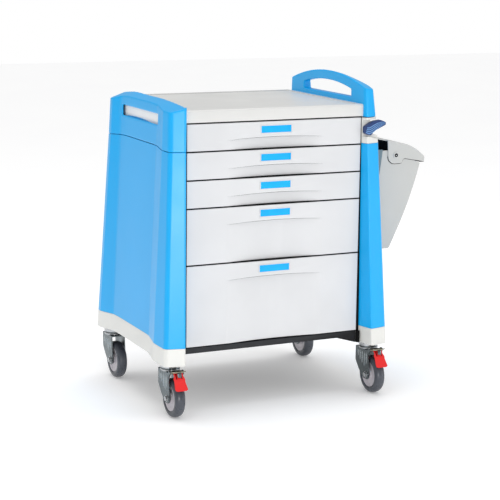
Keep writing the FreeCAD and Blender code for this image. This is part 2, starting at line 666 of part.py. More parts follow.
def build_bin():
    """Wedge-shaped bin on its bracket; its lid swings on two screws through the ears."""
    front, deep, wall = size("bin_front"), size("bin_long"), size("bin_wall")
    low, rim, back_rim = size("bin_low"), size("bin_rim"), size("bin_rim_back")
    sides = [(bin_back(low), low, 8), (size("bin_low_out"), low, 8),
             (size("bin_mid_out"), size("bin_mid"), size("bin_belly"))]
    outer = sides + [(size("bin_top_out"), size("bin_rim_out"), 2), (445, rim, 4),
                     (402, back_rim, 3), (bin_back(back_rim), back_rim, 2)]
    reach = (size("bin_top_out") - size("bin_mid_out")) / (size("bin_rim_out") - size("bin_mid"))
    open_top = sides + [(size("bin_top_out") + reach * 60, size("bin_rim_out") + 60, 1),
                        (bin_back(size("bin_rim_out") + 60), size("bin_rim_out") + 60, 1)]
    body = extrude_across(outer, front, deep)
    room = extrude_across(inset(open_top, wall), front + wall, deep - 2 * wall)
    body = body.cut(room)
    axis = Vector(size("lid_x"), 0, size("lid_z"))
    bore = Part.makeCylinder(size("screw_round"), deep + 20, axis + Vector(0, front - 10, 0),
                             Vector(0, 1, 0))
    pad = Part.makeCylinder(11, wall, axis + Vector(0, front, 0), Vector(0, 1, 0))
    pads = [pad, pad.translated(Vector(0, deep - wall, 0))]
    keep(solid("bin_body", body.fuse(pads).cut(bore)), "bin_body")
    keep(solid("bin_lid", lid_shape(front, deep, axis)), "bin_lid")

    ear = size("lid_play") + size("lid_wall")
    screws = []
    for y, step in ((front - ear - 0.5, 1), (front + deep + ear + 0.5, -1)):
        shank = Part.makeCylinder(size("screw_round"), ear + 3.5, axis + Vector(0, y, 0),
                                  Vector(0, step, 0))
        head = Part.makeCylinder(size("screw_head"), 2.5, axis + Vector(0, y, 0), Vector(0, -step, 0))
        screws.append(shank.fuse(head))
    keep(solid("bin_screws", Part.makeCompound(screws)), "bin_screws")

    base, top = size("bracket_low"), size("bracket_low") + size("bracket_high")
    bracket = extrude_across([(panel_face(base), base, 0), (bin_back(base), base, 0),
                              (bin_back(top), top, 0), (panel_face(top), top, 0)],
                             size("bracket_front"), size("bracket_long"))
    thick, reach, crest = size("hanger_thick"), size("hanger_reach"), size("hanger_crest")
    level = size("hanger_top")
    plate = [(bin_back(base) - thick, base, 0), (bin_back(base), base, 0),
             (bin_back(level), level, 0), (bin_back(level) - thick, level, 0)]
    bracket = bracket.fuse(extrude_across(plate, front, deep))
    cheek = [(bin_back(base) - reach, base, 8), (bin_back(base), base, 0),
             (bin_back(crest), crest, 0), (bin_back(crest) - reach - 10, crest, 8)]
    for y in (front, front + deep - thick):
        bracket = bracket.fuse(extrude_across(cheek, y, thick))
    keep(solid("bin_bracket", bracket), "bin_bracket")


def lid_shape(front, deep, axis):
    """Curved flap with an ear at each end; the tail over the bin is narrower than the ears."""
    play, wall, inset_y = size("lid_play"), size("lid_wall"), size("lid_inset")
    tail = [(356, 741, 0), (394, 733, 0), (406, 730.7, 0)]
    crown = [(394, 733, 0), (457, 721, 150), (494, 703, 150), (521, 680, 10), (519, 665, 0)]

    def sheet(points, y, length):
        under = []
        for index, (x, z, radius) in enumerate(points):
            last, after = points[max(index - 1, 0)], points[min(index + 1, len(points) - 1)]
            run = Vector(after[0] - last[0], after[1] - last[1], 0).normalize()
            under.append((x + run.y * wall, z - run.x * wall, max(radius - wall, 0)))
        return extrude_across(points + under[::-1], y, length)

    flap = sheet(crown, front - play - wall, deep + 2 * (play + wall))
    flap = flap.fuse(sheet(tail, front + inset_y, deep - 2 * inset_y))
    ears = []
    for y in (front - play - wall, front + deep + play):
        cheek = extrude_across([(394, 732, 0), (456, 719, 120), (493, 701, 120), (519, 679.5, 6),
                                (518, 665.5, 0), (447, 678.5, 8), (444, 664, 8), (398, 662.5, 22)],
                               y, wall)
        ears.append(cheek)
    lid = flap.fuse(ears)
    bore = Part.makeCylinder(size("screw_round") + size("screw_play"), deep + 40,
                             axis + Vector(0, front - 20, 0), Vector(0, 1, 0))
    return lid.cut(bore)


# ---------------------------------------------------------------- casters
CASTERS = {
    "front_left": ("-caster_x", "caster_front_y", True),
    "front_right": ("caster_x", "caster_front_y", True),
    "rear_left": ("-caster_x", "caster_rear_y", False),
    "rear_right": ("caster_x", "caster_rear_y", False),
}


def fork_plate(x, has_brake):
    """Side plate of a fork in the plane at x, with a lug for the brake when it has one."""
    top, half = size("fork_top"), size("fork_half")
    hub_y, hub_z = -size("trail"), size("wheel_round")
    points = [(half, top, 2), (half, hub_z + 31, 10), (hub_y + 42, hub_z + 7, 8),
              (hub_y + 14, hub_z - 14, 13), (hub_y - 17, hub_z - 14, 13), (hub_y - 17, hub_z + 13, 6)]
    if has_brake:
        lug_y, lug_z = size("brake_y"), size("brake_z")
        points += [(-half - 2, lug_z - 11, 6), (-lug_y - 5, lug_z - 5, 4), (-lug_y - 5, lug_z + 5, 4),
                   (-lug_y + 5, lug_z + 5, 4), (-half + 4, top, 0)]
    else:
        points += [(-half, top, 2)]
    wide = size("fork_out") - size("fork_in")
    return Part.Face(stand_up(rounded(points), x)).extrude(Vector(wide, 0, 0))


def build_caster(place, x, y, has_brake):
    """Swivelling fork with its axle, wheel core and tyre, and the pedal brake at the front."""
    name = "caster_" + place
    plates = [solid(name + "_plate", fork_plate(low_x, has_brake))
              for low_x in (-size("fork_out"), size("fork_in"))]
    bridge = block(name + "_bridge", ("-fork_out", "-fork_half", "fork_top - 3"),
                   ("2 * fork_out", "2 * fork_half", "3"))
    race = rod(name + "_race", ("0", "0", "fork_top - 1"), "race_round", "race_top - fork_top + 1")
    parts = plates + [bridge, race]
    if has_brake:
        parts.append(rod(name + "_brake_pin", ("-fork_out", "-brake_y", "brake_z"), "brake_pin",
                         "2 * fork_out", "x"))
    holes = fuse(name + "_holes",
                 rod(name + "_axle_hole", ("-fork_out - 1", "-trail", "wheel_round"), "axle_round",
                     "2 * fork_out + 2", "x"),
                 rod(name + "_pin_hole", ("0", "0", "fork_top - 10"), "pin_round + pin_play", "30"))
    keep(cut(name + "_cut", fuse(name + "_blank", *parts), holes), name + "_fork", x, y)

    bolt = fuse(name + "_bolt",
                rod(name + "_shank", ("-fork_out", "-trail", "wheel_round"), "axle_round",
                    "2 * fork_out", "x"),
                rod(name + "_bolt_head", ("-fork_out - bolt_high", "-trail", "wheel_round"),
                    "bolt_round", "bolt_high", "x"),
                rod(name + "_nut", ("fork_out", "-trail", "wheel_round"), "bolt_round",
                    "bolt_high", "x"))
    keep(bolt, name + "_axle", x, y)

    core = doc.addObject("PartDesign::Body", name + "_core")
    ring = new_sketch(core, "XZ_Plane", name + "_core_ring", "-0.5 * core_wide")
    bore, wide = "axle_round + axle_play", "core_wide"
    profile(ring, [("0", bore), (wide, bore), (wide, "13"), (f"{wide} - 5", "15"),
                   (f"{wide} - 5", "core_round - 7"), (wide, "core_round - 5"), (wide, "core_round"),
                   ("0", "core_round"), ("0", "core_round - 5"), ("5", "core_round - 7"),
                   ("5", "15"), ("0", "13")])
    spin(core, name + "_core_turned", ring)
    keep(core, name + "_core", x, f"{y} - trail", "wheel_round")

    tyre = doc.addObject("PartDesign::Body", name + "_tyre")
    section = new_sketch(tyre, "XZ_Plane", name + "_tyre_ring", "-0.5 * tyre_wide")
    profile(section, [("0", "core_round"), ("tyre_wide", "core_round"), ("tyre_wide", "wheel_round"),
                      ("0", "wheel_round")])
    turned = spin(tyre, name + "_tyre_turned", section)
    round_edges(tyre, name + "_crown", turned, "tyre_crown", lambda edge: (
        edge.BoundBox.ZLength > 2 * size("wheel_round") - 1 and edge.BoundBox.XLength < 1))
    keep(tyre, name + "_tyre", x, f"{y} - trail", "wheel_round")
    if has_brake:
        build_brake(name, x, y)


def build_brake(name, x, y):
    """Pedal brake: a bent steel lever on a pin across the fork, and its red pedal."""
    reach, rise, sheet = size("brake_reach"), size("brake_rise"), size("brake_sheet")
    near, base = -size("brake_y") - 6.5, size("brake_z") + 1
    half = size("brake_half")
    strip = Part.makePolygon([Vector(-half, y_at, z_at) for y_at, z_at in (
        (near, base), (-reach, base + rise), (-reach, base + rise + sheet), (near, base + sheet),
        (near, base))])
    plate = Part.Face(strip).extrude(Vector(2 * half, 0, 0))
    barrel_half = size("barrel_half")
    at = Vector(-barrel_half, -size("brake_y"), size("brake_z"))
    barrel = Part.makeCylinder(size("barrel_round"), 2 * barrel_half, at, Vector(1, 0, 0))
    knee = Part.makeBox(2 * barrel_half, 6, 2.2, Vector(-barrel_half, near - 1, base))
    bore = Part.makeCylinder(size("brake_pin") + 0.06, 60, Vector(-30, at.y, at.z), Vector(1, 0, 0))
    keep(solid(name + "_lever", plate.fuse([barrel, knee]).cut(bore)), name + "_brake_lever", x, y)

    top, low = base + rise + 0.5, size("pedal_low")
    outer, inner = size("pedal_at"), size("pedal_at") - size("pedal_thick") - 1
    foot = outer + size("pedal_kick")
    side = stand_up(rounded([(-outer, top, 0), (-inner, top, 0), (-foot + size("pedal_thick"), low, 1),
                             (-foot, low + 2, 1)]), -40)
    side = Part.Face(side).extrude(Vector(80, 0, 0))
    half, spread = size("pedal_half"), size("pedal_spread")
    front = extrude_across([(-half, top, 0), (half, top, 0), (half + spread, low, 4),
                            (-half - spread, low, 4)], -130, 100)
    pedal = side.common(front).cut(plate)
    keep(solid(name + "_pedal", pedal), name + "_pedal", x, y)


def build_caster_heads():
    """Top plate, upper race and kingpin of each caster, bolted under the frame."""
    heads = []
    for place, (x, y, _) in CASTERS.items():
        heads.append(fuse(
            "head_" + place,
            block(f"head_plate_{place}", (f"{x} - plate_half", f"{y} - plate_half + 4",
                                          "pad_low - plate_high"),
                  ("2 * plate_half", "2 * plate_half - 8", "plate_high")),
            rod(f"head_race_{place}", (x, y, "head_low"), "head_round",
                "pad_low - plate_high - head_low + 1"),
            rod(f"kingpin_{place}", (x, y, "fork_top - 6"), "pin_round", "head_low - fork_top + 8"),
            rod(f"kingpin_head_{place}", (x, y, "fork_top - 9.5"), "pin_round + 3", "6")))
    keep(group("caster_heads", *heads), "caster_heads")


# ---------------------------------------------------------------- the whole trolley
def centre_on_origin():
    """Move the model so that the origin is under the middle of its bounding box."""
    doc.recompute()
    low = Vector(1e9, 1e9, 1e9)
    high = Vector(-1e9, -1e9, -1e9)
    for thing in NODES:
        bounds = thing.Shape.optimalBoundingBox(False)
        low = Vector(min(low.x, bounds.XMin), min(low.y, bounds.YMin), min(low.z, bounds.ZMin))
        high = Vector(max(high.x, bounds.XMax), max(high.y, bounds.YMax), max(high.z, bounds.ZMax))
    dims.set(dims.getCellFromAlias("cart_x"), str(round(-(low.x + high.x) / 2, 3)))
    dims.set(dims.getCellFromAlias("cart_y"), str(round(-(low.y + high.y) / 2, 3)))
    doc.recompute()
    print("cart at", dims.cart_x, dims.cart_y, "size", high - low, "floor", low.z)


def check_and_export():
    """Stop on any failed object or shape, then write one STEP file for each sub-part."""
    for thing in doc.Objects:
        if "Invalid" in thing.State or "Error" in thing.State:
            raise RuntimeError(f"{thing.Label} failed: {thing.State}")
    names = [thing.Label for thing in NODES]
    assert len(set(names)) == len(names) <= 60, "each sub-part needs a name of its own"
    for thing in NODES:
        if thing.Shape.isNull() or not thing.Shape.isValid() or not thing.Shape.Solids:
            raise RuntimeError(f"{thing.Label} has no valid solid")
    os.makedirs("parts", exist_ok=True)
    for thing in NODES:
        thing.Shape.exportStep(f"parts/{thing.Label}.step")
    print(len(NODES), "sub-parts written")


def main():
    build_frame()
    build_carcass()
    build_worktop()
    for side in ("left", "right"):
        build_side(side)
    channels = []
    for number, (top, pitch) in enumerate(DRAWERS, start=1):
        channels += build_drawer(number, top, pitch)
    keep(group("slide_channels", *channels), "slide_channels")
    build_lock()
    build_bin()
    for place, (x, y, has_brake) in CASTERS.items():
        build_caster(place, x, y, has_brake)
    build_caster_heads()
    centre_on_origin()
    check_and_export()


main()
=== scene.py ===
"""Five-drawer ward trolley: looks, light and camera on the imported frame."""
import json
import math
import bpy
import bmesh
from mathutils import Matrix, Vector


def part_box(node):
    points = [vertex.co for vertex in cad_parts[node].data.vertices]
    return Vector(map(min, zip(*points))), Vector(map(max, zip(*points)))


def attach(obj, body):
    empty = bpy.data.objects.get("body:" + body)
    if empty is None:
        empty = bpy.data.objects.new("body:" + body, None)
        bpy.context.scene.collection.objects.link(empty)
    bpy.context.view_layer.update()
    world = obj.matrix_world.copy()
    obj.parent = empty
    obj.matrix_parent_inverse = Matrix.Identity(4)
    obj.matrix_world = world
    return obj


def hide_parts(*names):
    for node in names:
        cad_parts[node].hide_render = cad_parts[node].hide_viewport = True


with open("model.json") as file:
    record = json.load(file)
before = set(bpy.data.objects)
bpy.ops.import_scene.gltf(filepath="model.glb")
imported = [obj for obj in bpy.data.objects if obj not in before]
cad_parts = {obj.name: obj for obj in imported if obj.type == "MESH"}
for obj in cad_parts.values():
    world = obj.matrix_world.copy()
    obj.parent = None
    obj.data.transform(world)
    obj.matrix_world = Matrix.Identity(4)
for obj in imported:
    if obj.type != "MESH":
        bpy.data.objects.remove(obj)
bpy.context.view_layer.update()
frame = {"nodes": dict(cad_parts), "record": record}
nodes = frame["nodes"]
record = frame["record"]
BODY = {node: body for body, members in record["behaviour"]["bodies"].items() for node in members}
SLOT = {entry["node"]: entry["material_slot"] for entry in record["subparts"]}
JOINT = {joint["name"]: joint for joint in record["behaviour"]["joints"]}

front_lo, front_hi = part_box("drawer_1_front")
CART = Vector(((front_lo.x + front_hi.x) / 2, front_lo.y, 0))


def at(x, y, z):
    """Point given in millimetres from the cart's middle, its drawer fronts and the floor."""
    return CART + Vector((x, y, z)) / 1000


# ---------------------------------------------------------------- materials
def linear(red, green, blue):
    """Scene-linear colour of an sRGB one given from 0 to 255."""
    out = []
    for value in (red, green, blue):
        value /= 255
        out.append(value / 12.92 if value <= 0.04045 else ((value + 0.055) / 1.055) ** 2.4)
    return (*out, 1)


def scaled(color, factor):
    """The colour made lighter or darker by a factor."""
    return (*[min(1, channel * factor) for channel in color[:3]], 1)


class Shade:
    """A Principled material and the few node chains that the finishes are made of."""

    def __init__(self, name, color, rough, metal=0.0, coat=0.0, specular=0.5):
        self.mat = bpy.data.materials.new(name)
        self.mat.use_nodes = True
        self.tree = self.mat.node_tree
        self.out = self.tree.nodes["Principled BSDF"]
        self.color = color
        for socket, value in (("Base Color", color), ("Roughness", rough), ("Metallic", metal),
                              ("Coat Weight", coat), ("Coat Roughness", 0.2),
                              ("Specular IOR Level", specular)):
            self.out.inputs[socket].default_value = value
        self.rough = rough
        self.place = self.add("ShaderNodeTexCoord").outputs["Object"]
        self.bump = None

    def add(self, kind, **settings):
        """New node; each setting is an attribute of it or the value of an input."""
        made = self.tree.nodes.new(kind)
        for key, value in settings.items():
            if hasattr(made, key):
                setattr(made, key, value)
            else:
                made.inputs[key.replace("_", " ")].default_value = value
        return made

    def link(self, source, target):
        self.tree.links.new(source, target)

    def stretch(self, scale):
        """Object coordinates scaled by axis."""
        mapping = self.add("ShaderNodeMapping")
        mapping.inputs["Scale"].default_value = scale
        self.link(self.place, mapping.inputs["Vector"])
        return mapping.outputs["Vector"]

    def noise(self, scale, detail, stretch=None):
        """Noise from 0 to 1 over the object, drawn out along an axis where a stretch is given."""
        made = self.add("ShaderNodeTexNoise", Scale=scale, Detail=detail, Roughness=0.5)
        self.link(self.stretch(stretch) if stretch else self.place, made.inputs["Vector"])
        return made.outputs["Fac"]

    def ramp(self, source, low, high, start=0.3, end=0.7):
        """A value that runs from low to high as the source runs from start to end."""
        made = self.add("ShaderNodeMapRange")
        for key, value in (("From Min", start), ("From Max", end),
                           ("To Min", low), ("To Max", high)):
            made.inputs[key].default_value = value
        self.link(source, made.inputs["Value"])
        return made.outputs["Result"]

    def tint(self, factor, other):
        """Mix the base colour so far with another colour by a factor."""
        mix = self.add("ShaderNodeMix", data_type="RGBA")
        base = self.out.inputs["Base Color"]
        if base.is_linked:
            self.link(base.links[0].from_socket, mix.inputs[6])
        else:
            mix.inputs[6].default_value = self.color
        mix.inputs[7].default_value = other
        self.link(factor, mix.inputs[0])
        self.link(mix.outputs[2], base)

    def roughen(self, factor, spread):
        """Vary the roughness either way of its own value."""
        self.link(self.ramp(factor, max(0, self.rough - spread), self.rough + spread),
                  self.out.inputs["Roughness"])

    def relief(self, height, strength, distance):
        """Add bump on top of any bump so far; the distance is in metres."""
        made = self.add("ShaderNodeBump", Strength=strength, Distance=distance)
        self.link(height, made.inputs["Height"])
        if self.bump:
            self.link(self.bump, made.inputs["Normal"])
        self.bump = made.outputs["Normal"]
        self.link(self.bump, self.out.inputs["Normal"])

    def edges(self, other, amount, low=0.52, high=0.6):
        """Lighten the colour along outer edges: rubbed wear and a painted highlight."""
        geometry = self.add("ShaderNodeNewGeometry")
        wear_and_sheen_mask = self.ramp(geometry.outputs["Pointiness"], 0, amount, low, high)
        self.tint(wear_and_sheen_mask, other)


def moulded(name, color, rough, grain=1500, depth=0.00012, shift=0.94, wear_and_sheen=1.1, fleck=0.3,
            specular=0.5, grit=0.1, sway=0.01, ior=1.5, wear_and_sheen_amount=0.3, patch=0.04):
    """Moulded plastic with a fine spark-eroded grain, slight tone drift and edges lightened by wear
    and a painted highlight.
    """
    shade = Shade(name, color, rough, specular=specular)
    shade.tint(shade.ramp(shade.noise(5, 3), 0, 1, 0.35, 0.65), scaled(color, shift))
    fine = shade.noise(grain, 2)
    shade.tint(shade.ramp(fine, 0, fleck, 0.42, 0.7), scaled(color, 0.93))
    # edges lighter by wear and a painted highlight
    shade.edges(scaled(color, wear_and_sheen), wear_and_sheen_amount, 0.54, 0.62)
    shade.roughen(shade.noise(14, 2), patch)
    shade.relief(fine, grit, depth)
    shade.relief(shade.noise(35, 2), sway, 0.0004)
    shade.out.inputs["IOR"].default_value = ior
    return shade


def metal(name, color, rough, stretch, grain=900):
    """Rolled or plated steel with fine lines along one axis and duller patches."""
    shade = Shade(name, color, rough, metal=1.0)
    lines = shade.noise(grain, 3, stretch)
    shade.tint(shade.ramp(lines, 0, 0.5), scaled(color, 0.7))
    shade.tint(shade.ramp(shade.noise(28, 4), 0, 0.5, 0.45, 0.7), scaled(color, 0.8))
    shade.roughen(shade.noise(45, 4), 0.1)
    shade.relief(lines, 0.3, 0.00006)
    return shade


BLUE = moulded("blue_abs", linear(6, 168, 236), 0.3, grain=900, shift=0.97, wear_and_sheen=1.1, fleck=0.05,
               specular=0.75, grit=0.03, sway=0.002, ior=1.33, wear_and_sheen_amount=0.15, patch=0.015)
WHITE = moulded("offwhite_abs", linear(221, 221, 217), 0.36, grain=1500, wear_and_sheen=1.05)
FRONT = moulded("drawer_abs", linear(213, 214, 216), 0.34, grain=1700, depth=0.0001, wear_and_sheen=1.04)
TRAY = moulded("tray_abs", linear(214, 217, 220), 0.45, grain=1200)
TOP = moulded("worktop_abs", linear(213, 213, 211), 0.36, grain=1300, wear_and_sheen=1.04)
BIN = moulded("bin_abs", linear(188, 189, 187), 0.34, grain=1500, wear_and_sheen=1.05)
NAVY = moulded("navy_nylon", linear(22, 54, 110), 0.34, grain=1800, wear_and_sheen=1.5)
RED = moulded("red_nylon", linear(226, 34, 34), 0.35, grain=1500, wear_and_sheen=1.3)
CORE = moulded("grey_nylon", linear(198, 193, 199), 0.42, grain=1400)
# painted shade and painted reflection: the hanger's dark blue-grey is that of shade beside the blue
# panel
HANGER_SHADE = moulded("hanger_painted_shade", linear(104, 124, 134), 0.5, grain=1400)
# painted highlight: a lighter copy of the lever's navy for its ribs
RIB_HIGHLIGHT = moulded("navy_rib_highlight", linear(112, 158, 210), 0.3, grain=1800)
# painted light: whiter than the worktop, for the flange seen through the left slot
LIT_INSERT = moulded("slot_painted_light", linear(250, 249, 246), 0.4, grain=1500)
# painted shade: black for shadows in gaps, slots, recesses and under edges
PAINTED_SHADE = moulded("black_painted_shade", linear(8, 8, 9), 0.7, grain=1600, specular=0.15)

BLACK = Shade("black_powder", linear(13, 13, 15), 0.6, specular=0.25)
BLACK.roughen(BLACK.noise(70, 3), 0.1)
BLACK.relief(BLACK.noise(1100, 3), 0.5, 0.0002)
# grey along the edges: wear and a painted highlight
BLACK.edges(linear(70, 72, 76), amount=0.4)

ZINC = metal("zinc_plate", linear(178, 182, 184), 0.34, (1, 0.06, 1))
FORK = metal("fork_steel", linear(110, 118, 121), 0.30, (1, 1, 0.08), grain=1200)
# painted highlight: a lighter copy of the fork steel for the ribs pressed in its legs
PRESSED_HIGHLIGHT = metal("pressed_steel_highlight", linear(164, 172, 175), 0.24, (1, 1, 0.08), grain=1200)
KHAKI = metal("passivated_steel", linear(160, 156, 138), 0.36, (0.08, 1, 1), grain=1300)
BOLT = metal("bolt_steel", linear(198, 200, 202), 0.25, (0.1, 1, 1), grain=1500)

LABEL = Shade("label_film", linear(0, 174, 240), 0.2, coat=0.15, specular=0.3)
LABEL.tint(LABEL.ramp(LABEL.noise(30, 2), 0, 1), linear(0, 164, 236))
LABEL.relief(LABEL.noise(240, 2), 0.1, 0.0001)

TYRE = Shade("tyre_tpr", linear(58, 62, 70), 0.3)
TYRE.tint(TYRE.ramp(TYRE.noise(22, 4), 0, 1, 0.4, 0.75), linear(76, 80, 88))
TYRE.tint(TYRE.ramp(TYRE.noise(500, 3), 0, 0.4, 0.5, 0.8), linear(56, 60, 68))
TYRE.roughen(TYRE.noise(40, 3), 0.08)
TYRE.relief(TYRE.noise(700, 3), 0.4, 0.00025)

FINISH = {
    "blue_shell": BLUE, "white_shell": WHITE, "drawer_shell": FRONT, "tray_plastic": TRAY,
    "label_insert": LABEL, "black_steel": BLACK, "zinc_steel": ZINC, "bin_plastic": BIN,
    "lever_plastic": NAVY, "fork_steel": FORK, "tyre_rubber": TYRE, "core_plastic": CORE,
    "pedal_plastic": RED,
}


# ---------------------------------------------------------------- mesh helpers
def rings_mesh(name, rings, base=None, wrap=False):
    """Skin over rings of points in millimetres from `base`; wrap joins the last to the first."""
    base = CART if base is None else base
    count = len(rings[0])
    points = [base + Vector(spot) / 1000 for ring in rings for spot in ring]
    faces = []
    for index in range(len(rings) if wrap else len(rings) - 1):
        near, far = index * count, (index + 1) % len(rings) * count
        faces += [(near + step, near + (step + 1) % count, far + (step + 1) % count, far + step)
                  for step in range(count)]
    if not wrap:
        faces += [tuple(range(count)), tuple(range(len(points) - count, len(points)))]
    mesh = bpy.data.meshes.new(name)
    mesh.from_pydata(points, [], faces)
    work = bmesh.new()
    work.from_mesh(mesh)
    bmesh.ops.remove_doubles(work, verts=work.verts, dist=1e-6)
    bmesh.ops.dissolve_degenerate(work, edges=work.edges, dist=1e-6)
    bmesh.ops.recalc_face_normals(work, faces=work.faces)
    work.to_mesh(mesh)
    work.free()
    return mesh


def turned_mesh(name, section, base, axis="x", steps=72):
    """Solid of revolution of a closed (along, radius) section about x, y or z through `base`."""
    rings = []
    for step in range(steps):
        angle = math.tau * step / steps
        side, lift = math.cos(angle), math.sin(angle)
        rings.append([{"x": (along, radius * side, radius * lift),
                       "y": (radius * side, along, radius * lift),
                       "z": (radius * side, radius * lift, along)}[axis]
                      for along, radius in section])
    return rings_mesh(name, rings, base, wrap=True)


def softened(mesh, width, segments=3, angle=28):
    """Round over the sharp edges of a mesh."""
    work = bmesh.new()
    work.from_mesh(mesh)
    sharp = [edge for edge in work.edges
             if len(edge.link_faces) == 2 and edge.calc_face_angle(0) > math.radians(angle)]
    bmesh.ops.bevel(work, geom=sharp, offset=width / 1000, offset_type="OFFSET", segments=segments,
                    profile=0.5, affect="EDGES", clamp_overlap=True)
    work.to_mesh(mesh)
    work.free()
    return mesh


def bar_mesh(name, low, high, base=None, width=0.5):
    """Bar between two corners with rounded edges."""
    ring = [(low[0], low[1]), (high[0], low[1]), (high[0], high[1]), (low[0], high[1])]
    rings = [[(x, y, z) for x, y in ring] for z in (low[2], high[2])]
    return softened(rings_mesh(name, rings, base), width, 2)


def oval(wide, thick, power, steps):
    """Rounded-rectangle ring of (u, v) points; a higher power gives squarer corners."""
    ring = []
    for step in range(steps):
        angle = math.tau * step / steps
        across, through = math.cos(angle), math.sin(angle)
        ring.append((wide * math.copysign(abs(across) ** (2 / power), across),
                     thick * math.copysign(abs(through) ** (2 / power), through)))
    return ring


def joined(name, meshes):
    """One mesh from several."""
    work = bmesh.new()
    for mesh in meshes:
        work.from_mesh(mesh)
    mesh = bpy.data.meshes.new(name)
    work.to_mesh(mesh)
    work.free()
    return mesh


def piece(name, mesh, body, slot, finish=None, stands_for=(), smooth=35):
    """New object on a body, with its finish and the CAD nodes that it stands for."""
    thing = bpy.data.objects.new(name, mesh)
    bpy.context.scene.collection.objects.link(thing)
    mesh.materials.clear()
    mesh.materials.append((finish or FINISH[slot]).mat)
    set_smooth(mesh, smooth)
    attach(thing, body)
    if stands_for:
        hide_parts(*stands_for)
    return thing


def set_smooth(mesh, angle):
    """Smooth faces, with creases where neighbours meet at more than the angle."""
    work = bmesh.new()
    work.from_mesh(mesh)
    for face in work.faces:
        face.smooth = True
    for edge in work.edges:
        edge.smooth = len(edge.link_faces) == 2 and edge.calc_face_angle(0) < math.radians(angle)
    work.to_mesh(mesh)
    work.free()


def refined(node, width, finish):
    """Copy of a CAD node with its sharp edges rounded over, standing in for it."""
    mesh = bpy.data.meshes.new(node + "_fine")
    work = bmesh.new()
    work.from_mesh(nodes[node].data)
    bmesh.ops.remove_doubles(work, verts=work.verts, dist=2e-5)
    bmesh.ops.dissolve_limit(work, angle_limit=math.radians(0.5), verts=work.verts,
                             edges=work.edges)
    work.to_mesh(mesh)
    work.free()
    softened(mesh, width)
    thing = piece(node + "_fine", mesh, BODY[node], SLOT[node], finish, (node,), 50)
    weighted = thing.modifiers.new("weighted", "WEIGHTED_NORMAL")
    weighted.keep_sharp = True


# ---------------------------------------------------------------- casters
# half sections of a wheel, as (distance from its middle plane, radius)
TYRE_RADIUS = 55
TYRE_HALF = [(12.6, 37), (13.4, 38.4), (14.6, 39.4), (15, 41.5), (15, 45), (14.4, 48.4),
             (12.8, 51.2), (10.2, 53.2), (7, 54.4), (3.5, 54.9)]
CORE_HALF = [(13.5, 5.2), (13.5, 12.6), (13, 13.2), (10.4, 14.4), (9.6, 16), (9.6, 27.5),
             (10.2, 28.6), (11.4, 29.2), (11.8, 30.4), (11.8, 33), (12.6, 33.8), (13.4, 34.4),
             (13.5, 35.6), (13.2, 36.9)]
FORK_FACE = 21.5     # from the wheel's middle plane to the outside of a fork leg
# pressed ribs of a fork leg, as (y, foot, head)
FORK_RIBS = ((-27, 86, 121), (-15, 78, 121), (-3, 84, 121), (9, 92, 121), (21, 100, 121))


def mirrored(half):
    """The other half of a wheel's section, running on from the first."""
    return [(-along, radius) for along, radius in half[::-1]]


def wheel(name, body, hub):
    """Tyre with a rounded crown and a groove where it grips the stepped wheel core."""
    section = TYRE_HALF + [(0, TYRE_RADIUS)] + mirrored(TYRE_HALF)
    piece(name + "_tyre_round", turned_mesh(name + "_tyre_round", section, hub, steps=96), body,
          "tyre_rubber", stands_for=(name + "_tyre",), smooth=40)
    section = CORE_HALF + mirrored(CORE_HALF)
    piece(name + "_core_turned", turned_mesh(name + "_core_turned", section, hub, steps=96), body,
          "core_plastic", stands_for=(name + "_core",), smooth=30)


def hex_head(name, hub, side):
    """Washer and chamfered hexagon head on one side of the fork."""
    face = FORK_FACE
    washer = turned_mesh(name + "_washer", [(side * face, 3), (side * face, 9.6),
                                            (side * (face + 1.0), 9.6), (side * (face + 1.4), 9.2),
                                            (side * (face + 1.4), 3)], hub, steps=48)
    rings = []
    for along, radius in ((face + 1.2, 7.6), (face + 5.2, 7.6), (face + 6, 6.7), (face + 6, 3.4),
                          (face + 5.4, 3.2)):
        rings.append([(side * along, radius * math.cos(math.tau * step / 6),
                       radius * math.sin(math.tau * step / 6)) for step in range(6)])
    return [washer, softened(rings_mesh(name + "_hex", rings, hub), 0.35, 2)]


def fork_details(name, body, pivot, hub):
    """Pressed ribs, swivel rings and axle bolt of one caster."""
    ribs = []
    for side in (-1, 1):
        for y, low, high in FORK_RIBS:
            rings = []
            for step in range(11):
                part = step / 10
                swell = math.sin(math.pi * min(max(part, 0.02), 0.98)) ** 0.35
                rings.append([(side * (21.4 + 1.5 * swell * math.sin(turn)),
                               y + 3.0 * swell * math.cos(turn), low + (high - low) * part)
                              for turn in [math.pi * index / 8 for index in range(9)]])
            ribs.append(rings_mesh(name + "_rib", rings, pivot))
    # the ribs take the lighter copy of the fork steel: painted highlight
    piece(name + "_ribs", joined(name + "_ribs", ribs), body, "fork_steel", PRESSED_HIGHLIGHT, smooth=60)
    lower = turned_mesh(name + "_ring", [(129, 18), (129, 26.2), (130, 27.4), (132, 28),
                                         (134, 27.4), (135, 26.2), (135, 18)], pivot, "z", 64)
    piece(name + "_swivel_ring", lower, body, "zinc_steel", BOLT)
    upper = turned_mesh(name + "_cup", [(139, 20), (138.6, 27.4), (139.4, 28.8), (145, 29.4),
                                        (149, 28.6), (150, 26.8), (150, 20)], pivot, "z", 64)
    piece(name + "_swivel_cup", upper, "trolley", "zinc_steel", BOLT)
    # painted shade: a black ring in the gap between the swivel ring and cup
    gap = turned_mesh(name + "_gap", [(135, 12), (135, 24.6), (138.6, 24.6), (138.6, 12)],
                      pivot, "z", 48)
    piece(name + "_swivel_gap_shade", gap, "trolley", "black_steel", PAINTED_SHADE)
    shank = turned_mesh(name + "_shank", [(-21.8, 0.4), (-21.8, 4.9), (21.8, 4.9), (21.8, 0.4)],
                        hub, steps=32)
    heads = hex_head(name + "_a", hub, -1) + hex_head(name + "_b", hub, 1)
    piece(name + "_bolt", joined(name + "_bolt", [shank] + heads), body, "zinc_steel", BOLT,
          (name + "_axle",))


